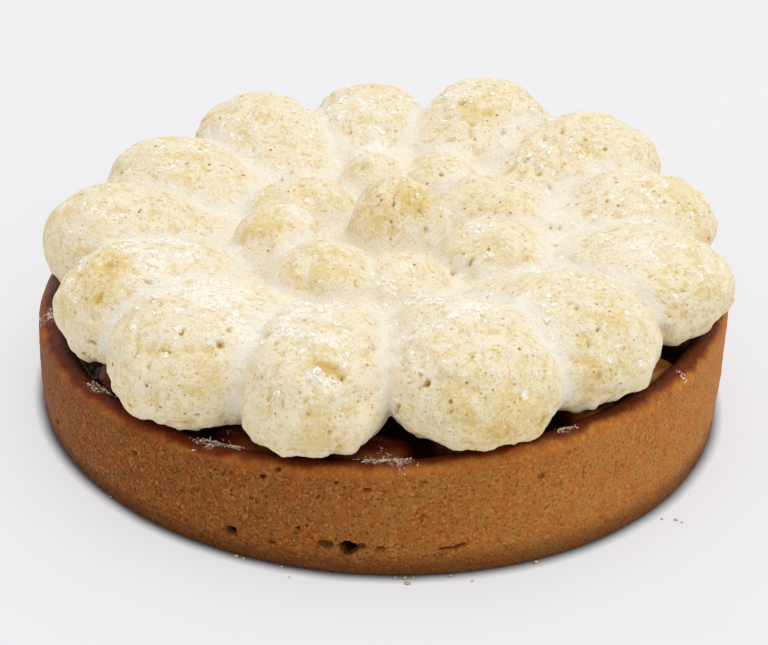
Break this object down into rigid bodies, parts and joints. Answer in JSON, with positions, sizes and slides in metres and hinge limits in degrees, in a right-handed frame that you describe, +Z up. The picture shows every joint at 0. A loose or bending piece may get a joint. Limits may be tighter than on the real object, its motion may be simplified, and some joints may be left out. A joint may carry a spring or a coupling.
{
  "type": "tartlet",
  "caption": "Round single tartlet: a straight-sided shortcrust shell filled with caramelised apple and topped with a baked disc of piped almond biscuit domes.",
  "frame": {"origin": "middle of the flat underside of the shell", "axes": "+Z up out of the flat base; the front of the picture faces -Y and its right is +X"},
  "size_m": [0.0987, 0.1008, 0.0329],
  "materials": {
    "crust": "baked shortcrust, sandy and matt, glossier at the rim",
    "apple_filling": "wet glossy caramelised apple",
    "piped_topping": "matt porous baked almond biscuit dusted with fine sugar"
  },
  "bodies": {
    "root": {"crust": "crust", "apple_filling": "apple_filling", "piped_topping": "piped_topping"}
  },
  "joints": []
}
